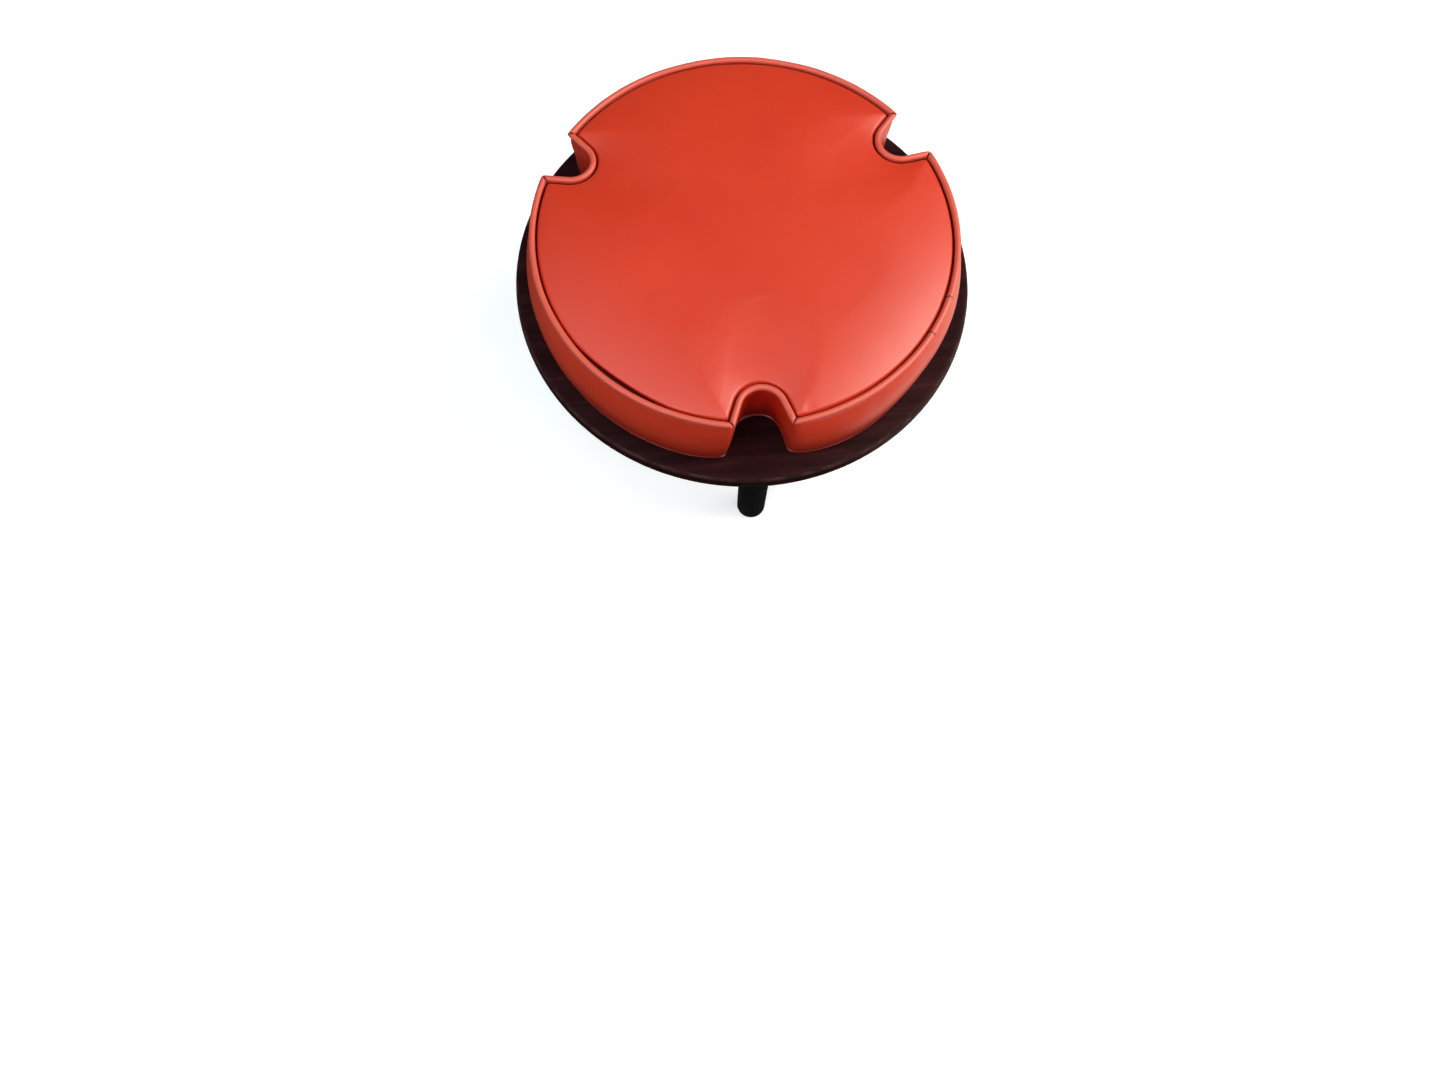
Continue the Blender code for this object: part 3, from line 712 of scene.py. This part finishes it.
def panel(inset, drop, edge_rows):
    """Points and faces of a domed sheet inside the seam line: edge rows, rings, then a disc."""
    seam = outline(SEAM_RADIUS, 0.0)
    plans = []
    for back in edge_rows:
        plan = outline(SEAM_RADIUS - inset - back, -inset - back)
        plan = softened(plan, 0 if back < EDGE_ROLL_REACH else 2)
        outward = plan / np.linalg.norm(plan, axis=1)[:, None]
        plans.append(plan - outward * gape(plan)[:, None] * gape_shift(back))
    inner = plans[-1]
    circle, start = even_circle(inner)
    for share in np.linspace(0, 1, RINGS + 1)[1:]:
        plans.append(softened(inner * (1 - share) + circle * share, 0 if share == 1 else 4))
    rows = []
    for plan, back in zip(plans, [*edge_rows, *[1.0] * RINGS]):
        distance = seam_distance(plan, seam) if back > 0 else np.zeros(COLUMNS)
        height = panel_height(distance, plan, back) + min(back, 0.0) - drop
        if back < EDGE_FLOOR:
            height = height - GAPE_DEPTH * gape(plan)
        rows.append(with_height(plan, height))
    middle = disc(start)
    last = DISC_STEPS
    flat = middle.reshape(-1, 2)
    middle_points = with_height(flat, panel_height(seam_distance(flat, seam), flat) - drop)
    number = np.arange(len(flat)).reshape(last + 1, last + 1) + len(rows) * COLUMNS
    for column, (i, j) in enumerate(disc_rim(last)):
        number[i, j] = (len(rows) - 1) * COLUMNS + column
    faces = grid_faces(len(rows), COLUMNS)
    faces += [(number[i, j], number[i + 1, j], number[i + 1, j + 1], number[i, j + 1])
              for i in range(last) for j in range(last)]
    return np.concatenate([*rows, middle_points]), [tuple(map(int, face)) for face in faces]


def without_loose(points, faces):
    """Drop points that no face uses, and renumber the faces."""
    used = np.unique(np.array([index for face in faces for index in face]))
    place = np.full(len(points), -1)
    place[used] = np.arange(len(used))
    return points[used], [tuple(int(place[index]) for index in face) for face in faces]


def evened(move, faces, pinned, passes):
    """Average each point's move with its neighbours', so that only broad folds stay."""
    pairs = np.array([(face[i], face[i - 1]) for face in faces for i in range(len(face))])
    pairs = np.concatenate([pairs, pairs[:, ::-1]])
    count = np.bincount(pairs[:, 0], minlength=len(move))[:, None]
    for _ in range(passes):
        near = [np.bincount(pairs[:, 0], move[pairs[:, 1], axis], len(move)) for axis in range(3)]
        move = (move + np.stack(near, -1) / np.maximum(count, 1)) / 2
        move[pinned] = 0.0
    return move


def puffed(points, faces, pinned, pressure, slack, limit, passes):
    """Cloth simulation of a sheet with pinned points. Its moves are evened and capped at the limit."""
    mesh = mesh_of("cloth_guide", points, faces)
    guide = bpy.data.objects.new("cloth_guide", mesh)
    bpy.context.scene.collection.objects.link(guide)
    guide.vertex_groups.new(name="pins").add([int(index) for index in pinned], 1.0, "REPLACE")
    cloth = guide.modifiers.new("Cloth", "CLOTH")
    settings = cloth.settings
    settings.quality = 5
    settings.mass = 0.4
    settings.tension_stiffness = 30
    settings.compression_stiffness = 30
    settings.shear_stiffness = 20
    settings.bending_stiffness = 2.0
    settings.shrink_min = -slack
    settings.use_pressure = True
    settings.uniform_pressure_force = pressure
    settings.effector_weights.gravity = 0
    settings.vertex_group_mass = "pins"
    cloth.collision_settings.use_collision = False
    for step in range(1, 21):
        bpy.context.scene.frame_set(step)
    moved = np.zeros(len(points) * 3, np.float32)
    shape = guide.evaluated_get(bpy.context.evaluated_depsgraph_get()).data
    shape.vertices.foreach_get("co", moved)
    bpy.context.scene.frame_set(1)
    bpy.data.objects.remove(guide)
    bpy.data.meshes.remove(mesh)
    move = evened(moved.reshape(-1, 3) - points, faces, list(pinned), passes)
    size = np.linalg.norm(move, axis=1, keepdims=True)
    return points + move * np.minimum(1, limit / np.maximum(size, 1e-9))


def add_skin(name, points, faces, look, nodes):
    """A vinyl skin, subdivided once and given its thickness inwards."""
    piece = add_piece(name, mesh_of(name, points, faces), look, "cushion", nodes)
    smooth = piece.modifiers.new("Smooth", "SUBSURF")
    smooth.levels = 1
    smooth.render_levels = 1
    thick = piece.modifiers.new("Thickness", "SOLIDIFY")
    thick.thickness = VINYL
    thick.offset = -1.0
    return piece


def make_top():
    points, faces = without_loose(*panel(0.0, 0.0, EDGE_ROWS))
    points = puffed(points, faces, range(7 * COLUMNS), pressure=4.0, slack=0.0, limit=0.0015, passes=60)
    for place, reach, depth in PUCKERS:
        gap = np.linalg.norm(points[:, :2] - place, axis=1)
        points[:, 2] -= depth * np.exp(-(gap / reach) ** 2)
    # The top's vinyl has painted shade in the seam's groove
    add_skin("cushion_top", points, faces, vinyl("vinyl_top", painted_seam_shade=True), ["cushion_top_panel"])


def make_wall():
    rows = wall_rows()
    count = len(rows)
    points = np.concatenate(rows)
    faces = [face[::-1] for face in grid_faces(count, COLUMNS)]
    pinned = [*range(3 * COLUMNS), *range((count - 7) * COLUMNS, count * COLUMNS)]
    points = puffed(points, faces, pinned, pressure=4.0, slack=0.006, limit=0.0016, passes=10)
    # The boxing's vinyl has painted shade low on the wall and at the ends of the notches
    look = vinyl("vinyl_boxing", SCUFFS, DENTS, painted_wall_shade=True)
    add_skin("cushion_wall", points, faces, look, ["cushion_boxing"])


def make_base():
    """The sheet under the foam, inside the hem."""
    inset, edge_round, edge_rise = 0.0036, 0.0008, 0.0003
    low, high = BOARD_TOP + GAP, BOARD_TOP + GAP + VINYL
    rows = [(low, -edge_round), (low + edge_rise, 0.0), (high - edge_rise, 0.0), (high, -edge_round)]
    plans = [shaped_wall(WALL_BASE_RADIUS - inset + out, out - inset, 3, 0.0) for _, out in rows]
    points = np.concatenate([with_height(plan, height) for plan, (height, _) in zip(plans, rows)])
    faces = grid_faces(len(rows), COLUMNS)
    faces += [tuple(reversed(range(COLUMNS))), tuple(range(3 * COLUMNS, 4 * COLUMNS))]
    mesh = mesh_of("cushion_base", points, faces)
    piece = add_piece("cushion_base", mesh, vinyl("vinyl_base"), "cushion",
                      ["cushion_bottom_panel"])


def make_foam():
    """The foam block inside the vinyl: a side of (rise, rim radius, growth) rows under a domed sheet."""
    inset = 0.0045
    sheet, sheet_faces = without_loose(*panel(0.0100, inset, (0.0044, 0.0095)))
    profile = ((0.0030, WALL_BASE_RADIUS, 0.0), (0.012, 0.2344, 0.0), (0.024, WALL_WIDEST_RADIUS, 0.001),
               (0.045, 0.2325, 0.002), (0.056, 0.2260, 0.003))
    rows = [with_height(shaped_wall(rim - inset, grow - inset, 3, rise), BOARD_TOP + rise)
            for rise, rim, grow in profile]
    side = np.concatenate(rows)
    first = len(side)
    faces = grid_faces(len(rows) + 1, COLUMNS)
    faces += [tuple(index + first for index in face) for face in sheet_faces]
    faces.append(tuple(reversed(range(COLUMNS))))
    mesh = mesh_of("foam_block", np.concatenate([side, sheet]), faces)
    piece = add_piece("foam_block", mesh, foam("cream_foam"), "cushion", ["foam_core"])


# ---------------------------------------------------------------- welts and stitches

def path_frame(points):
    """Lengths along a path, its tangents, and its sideways directions in plan."""
    steps = np.gradient(points, axis=0)
    tangents = steps / np.linalg.norm(steps, axis=1, keepdims=True)
    lengths = np.concatenate([[0.0], np.cumsum(np.linalg.norm(np.diff(points, axis=0), axis=1))])
    sideways = np.stack([tangents[:, 1], -tangents[:, 0], np.zeros(len(points))], -1)
    return lengths, tangents, sideways


def swept(points, radii, sides, twist=None):
    """Rings round a path, with one radius a point. A twist in radians a metre gives it three strands."""
    lengths, _, sideways = path_frame(points)
    angles = 2 * math.pi * np.arange(sides) / sides
    radii = np.repeat(np.asarray(radii)[:, None], sides, 1)
    if twist:
        radii = radii * (1 + STRAND_DEPTH * np.cos(3 * (angles[None, :] - lengths[:, None] * twist)))
    out = (radii * np.cos(angles))[:, :, None] * sideways[:, None, :]
    up = (radii * np.sin(angles))[:, :, None] * np.array([0, 0, 1.0])
    return points[:, None, :] + out + up


def mitred(rings, points, corners, gap):
    """Slant a tube's end rings into their corners' vertical planes. The joint opens towards its top."""
    lengths, tangents, _ = path_frame(points)
    turn = 2 * math.pi * np.arange(rings.shape[1]) / rings.shape[1]
    gap = gap * ((1 + np.sin(turn)) / 2)[:, None] ** 1.5
    result = rings.copy()
    for at_end, (inner, outer) in zip((False, True), corners):
        normal = np.array([outer[1] - inner[1], inner[0] - outer[0], 0.0])
        normal /= np.linalg.norm(normal)
        if normal @ (points[len(points) // 2] - inner) < 0:
            normal = -normal
        along = tangents[-1] if at_end else tangents[0]
        past = ((inner + normal * gap - rings) @ normal) / (along @ normal)
        end_past = past[-1] if at_end else past[0]
        away = (lengths[-1] - lengths) if at_end else lengths
        share = np.clip(1 - away / BUTT_REACH, 0, 1)
        result += share[:, None, None] * end_past[None, :, None] * along
    return result


def corner_ends(side, flip):
    """Inner and outer ends of the butt joint at one lip of a notch."""
    ends = []
    for grow in (0.0, WELT_OFFSET):
        spot = turned_by(lip(SEAM_RADIUS + grow, grow) * [1.0, flip], NOTCHES[side])
        ends.append(np.array([*spot, WELT_HEIGHT]))
    return ends


def welt_paths():
    """The six welts as name, plan path and the corners at their two ends."""
    rim = SEAM_RADIUS + WELT_OFFSET
    corner = lip(rim, WELT_OFFSET)
    for side, degrees in NOTCHES.items():
        path = np.concatenate([notch_points(rim, WELT_OFFSET, arc_steps=34, flare_steps=10), [corner]])
        yield "notch_" + side, turned_by(path, degrees), (corner_ends(side, -1.0), corner_ends(side, 1.0))
    order = list(NOTCHES)
    for name, side in RIMS.items():
        following = order[(order.index(side) + 1) % 3]
        path = rim_points(rim, WELT_OFFSET, side, steps=200)
        last = turned_by(corner * [1.0, -1.0], rim_sweep(side))
        path = turned_by(np.concatenate([path, [last]]), NOTCHES[side])
        yield name, path, (corner_ends(side, 1.0), corner_ends(following, -1.0))


def welt_radii(path, lengths):
    """The welt's radius along its path: hand-sewn wander, pinched ends and two spliced joints."""
    ends = np.minimum(lengths, lengths[-1] - lengths)
    radii = WELT_RADIUS * (1 + 0.035 * ripple(path, 60.0, 3.7) - 0.14 * np.exp(-ends / 0.0025))
    angles = np.degrees(np.arctan2(path[:, 1], path[:, 0]))
    on_rim = np.linalg.norm(path, axis=1) > SEAM_RADIUS
    for splice in SPLICES:
        along = np.radians(angles - splice) * SEAM_RADIUS
        radii += np.where(on_rim, 0.0006, 0) * np.exp(-(along / 0.0035) ** 2)
        radii -= np.where(np.abs(along) < 0.0012, 0.0014, 0)
    return radii


def closed_tube(rings, inner):
    """Points and faces of a tube wall between outer and inner rings, open through its middle."""
    count = rings.shape[1]
    rows = np.concatenate([rings, inner[::-1]])
    return rows.reshape(-1, 3), grid_faces(len(rows), count, closed_rows=True)


def capped_tube(rings):
    """Points and faces of a solid tube."""
    rows, count = rings.shape[:2]
    faces = grid_faces(rows, count)
    faces += [tuple(reversed(range(count))), tuple(range((rows - 1) * count, rows * count))]
    return rings.reshape(-1, 3), faces


def make_welts():
    """Six hand-sewn welts, each a vinyl tube that wanders a little, with its cord inside."""
    # The welts' vinyl has a painted sheen: a pale pink mixed into its colour
    cover_look = vinyl("vinyl_welt", cuts=SPLICES, painted_sheen=0.12, matt=0.10)
    cord_look = cotton("piping_cotton", (0.50, 0.45, 0.36), (0.78, 0.74, 0.64))
    for name, plan, corners in welt_paths():
        outward = plan / np.linalg.norm(plan, axis=1)[:, None]
        plan = plan + outward * (WANDER * ripple(plan, 25.0, 9.1) + WANDER * gape(plan))[:, None]
        path = with_height(plan, WELT_HEIGHT + WANDER * ripple(plan, 25.0, 5.3))
        lengths, _, _ = path_frame(path)
        radii = welt_radii(plan, lengths)
        outer = mitred(swept(path, radii, WELT_SIDES), path, corners, BUTT_GAP)
        inner = mitred(swept(path, radii - WELT_COVER, WELT_SIDES), path, corners, BUTT_GAP)
        points, faces = closed_tube(outer, inner)
        add_piece("welt_" + name, mesh_of("welt_" + name, points, faces), cover_look, "cushion",
                  ["welt_cover_" + name])
        inside = path[CORD_TRIM:-CORD_TRIM]
        cord = swept(inside, [CORD_RADIUS] * len(inside), CORD_SIDES, CORD_TWIST)
        points, faces = capped_tube(cord)
        add_piece("cord_" + name, mesh_of("cord_" + name, points, faces), cord_look, "cushion",
                  ["welt_cord_" + name])


def make_stitches():
    """Thread along the seam: deep in the groove, and over the panel's edge where the seam gapes."""
    seam = outline(SEAM_RADIUS, 0.0)
    seam = np.concatenate([seam, seam[:1]])
    lengths = np.concatenate([[0.0], np.cumsum(np.linalg.norm(np.diff(seam, axis=0), axis=1))])
    spots = np.arange(0.0, lengths[-1], STITCH_PITCH)
    places = np.stack([np.interp(spots, lengths, seam[:, axis]) for axis in (0, 1)], -1)
    ahead = np.stack([np.interp(spots + STITCH_LENGTH, lengths, seam[:, axis]) for axis in (0, 1)], -1)
    radii = [THREAD_RADIUS * share for share in (0.8, 1.0, 1.0, 0.8)]
    points, faces = [], []
    for place, following, gap in zip(places, ahead, gape(places)):
        along = following - place
        along /= max(np.linalg.norm(along), 1e-9)
        across = np.array([-along[1], along[0]])
        is_open = gap > OPEN_FROM
        path = []
        for step, (back, rise) in enumerate(STITCH_OPEN if is_open else STITCH_HIDDEN):
            back += gape_shift(back) * gap if is_open else 0.0
            spot = place + across * back + along * STITCH_LENGTH * step / 3
            path.append((*spot, WELT_HEIGHT + rise))
        stitch_points, stitch_faces = capped_tube(swept(np.array(path), radii, THREAD_SIDES))
        faces += [tuple(index + len(points) for index in face) for face in stitch_faces]
        points += stitch_points.tolist()
    look = cotton("seam_thread", (0.45, 0.016, 0.012), (0.80, 0.050, 0.030))
    add_piece("seam_stitches", mesh_of("seam_stitches", points, faces), look, "cushion")


# ---------------------------------------------------------------- stage

def make_stage():
    """A white floor and backdrop that glow for the camera but don't light the stool."""
    bpy.ops.mesh.primitive_plane_add(size=2 * STAGE_RADIUS, location=(0, 0, 0))
    floor = bpy.context.object
    floor.name = "floor"
    look = Look("floor_paint", roughness=0.9)
    look.colour(look.ramp(look.noise(3.0, 2.0), [(0.3, (0.88, 0.88, 0.88)), (0.7, (0.91, 0.91, 0.91))]))
    look.shader.inputs["Emission Color"].default_value = (1, 1, 1, 1)
    glow = look.between(look.radius(), *FLOOR_GLOW_RADII, *FLOOR_GLOW)
    look.put(look.shader.inputs["Emission Strength"], glow)
    floor.data.materials.append(look.material)
    bpy.ops.mesh.primitive_uv_sphere_add(radius=STAGE_RADIUS, segments=64, ring_count=32)
    backdrop = bpy.context.object
    backdrop.name = "backdrop"
    look = Look("backdrop_paint", roughness=1.0)
    look.colour((0.0, 0.0, 0.0))
    look.shader.inputs["Emission Color"].default_value = (1, 1, 1, 1)
    look.shader.inputs["Emission Strength"].default_value = 1.0
    backdrop.data.materials.append(look.material)
    for piece in (floor, backdrop):
        piece.visible_diffuse = False
        piece.visible_glossy = False
    backdrop.visible_shadow = False


def lamp(name, place, rotation, width, height, watts, tone):
    """A soft rectangular lamp."""
    data = bpy.data.lights.new(name, "AREA")
    data.shape = "RECTANGLE"
    data.size, data.size_y = width, height
    data.energy = watts
    data.color = tone
    light = bpy.data.objects.new(name, data)
    bpy.context.scene.collection.objects.link(light)
    light.location = place
    light.rotation_euler = rotation
    return light


def make_lights():
    """Soft lamps round the stool. The strongest stand on its right, as a window does."""
    middle = Vector((0, 0, BOARD_TOP))
    for name, turn, rise, width, height, watts, tone in LIGHTS:
        turn, rise = math.radians(turn), math.radians(rise)
        away = Vector((math.cos(rise) * math.cos(turn), math.cos(rise) * math.sin(turn), math.sin(rise)))
        rotation = (-away).to_track_quat("-Z", "Y").to_euler()
        lamp(name, middle + away * LIGHT_DISTANCE, rotation, width, height, watts, tone)
    place, side, watts, tone = BRIGHT_FLOOR
    glow = lamp("bright_floor", place, (math.pi, 0.0, 0.0), side, side, watts, tone)
    glow.visible_camera = False


def make_world():
    """A dim room: paler round the horizon, dark overhead and below."""
    world = bpy.data.worlds.new("studio")
    world.use_nodes = True
    tree = world.node_tree
    place = tree.nodes.new("ShaderNodeTexCoord").outputs["Generated"]
    split = tree.nodes.new("ShaderNodeSeparateXYZ")
    tree.links.new(place, split.inputs[0])
    rise = tree.nodes.new("ShaderNodeMapRange")
    rise.inputs["From Min"].default_value = -1.0
    tree.links.new(split.outputs["Z"], rise.inputs["Value"])
    ramp = tree.nodes.new("ShaderNodeValToRGB")
    while len(ramp.color_ramp.elements) < len(WORLD_TONES):
        ramp.color_ramp.elements.new(0.5)
    for element, (spot, tone) in zip(ramp.color_ramp.elements, WORLD_TONES):
        element.position = spot
        element.color = (tone, tone, tone, 1.0)
    tree.links.new(rise.outputs["Result"], ramp.inputs["Fac"])
    tree.links.new(ramp.outputs["Color"], tree.nodes["Background"].inputs["Color"])
    bpy.context.scene.world = world


def make_camera():
    """The photographer's place: a hand-held camera looking steeply down at the stool."""
    data = bpy.data.cameras.new("camera")
    data.sensor_fit = "HORIZONTAL"
    data.sensor_width = CAMERA_SENSOR
    data.lens = CAMERA_LENS
    camera = bpy.data.objects.new("camera", data)
    bpy.context.scene.collection.objects.link(camera)
    yaw = Matrix.Rotation(math.radians(CAMERA_YAW), 4, "Z")
    tilt = Matrix.Rotation(math.radians(CAMERA_TILT), 4, "X")
    roll = Matrix.Rotation(math.radians(CAMERA_ROLL), 4, "Z")
    camera.matrix_world = Matrix.Translation(CAMERA_PLACE) @ yaw @ tilt @ roll
    bpy.context.scene.camera = camera


make_camera()
make_stage()
make_world()
make_lights()
bpy.context.scene.view_settings.view_transform = "Standard"
make_board()
make_legs()
dress_hardware()
make_top()
make_wall()
make_base()
make_foam()
make_welts()
make_stitches()
